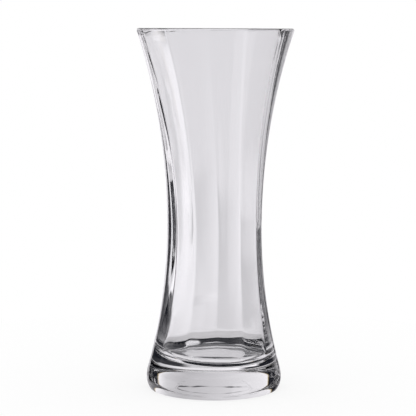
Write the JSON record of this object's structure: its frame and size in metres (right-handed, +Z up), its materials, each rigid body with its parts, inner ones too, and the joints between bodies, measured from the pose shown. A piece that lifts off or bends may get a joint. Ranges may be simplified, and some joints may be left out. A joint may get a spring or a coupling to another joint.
{
  "type": "hyacinth forcing vase",
  "caption": "Waisted clear glass vase with a flared mouth, panelled inside and heavy base, for forcing a hyacinth bulb over water.",
  "frame": {"origin": "centre of the foot's standing face", "axes": "+Z up along the vase's axis, towards the mouth; +X square to one pair of the inside panels"},
  "size_m": [0.1092, 0.1092, 0.25],
  "materials": {
    "clear_glass": "clear and colourless, polished all over, with a ground rim and a faintly worn standing ring"
  },
  "bodies": {
    "root": {"glass_vase": "clear_glass"}
  },
  "joints": []
}
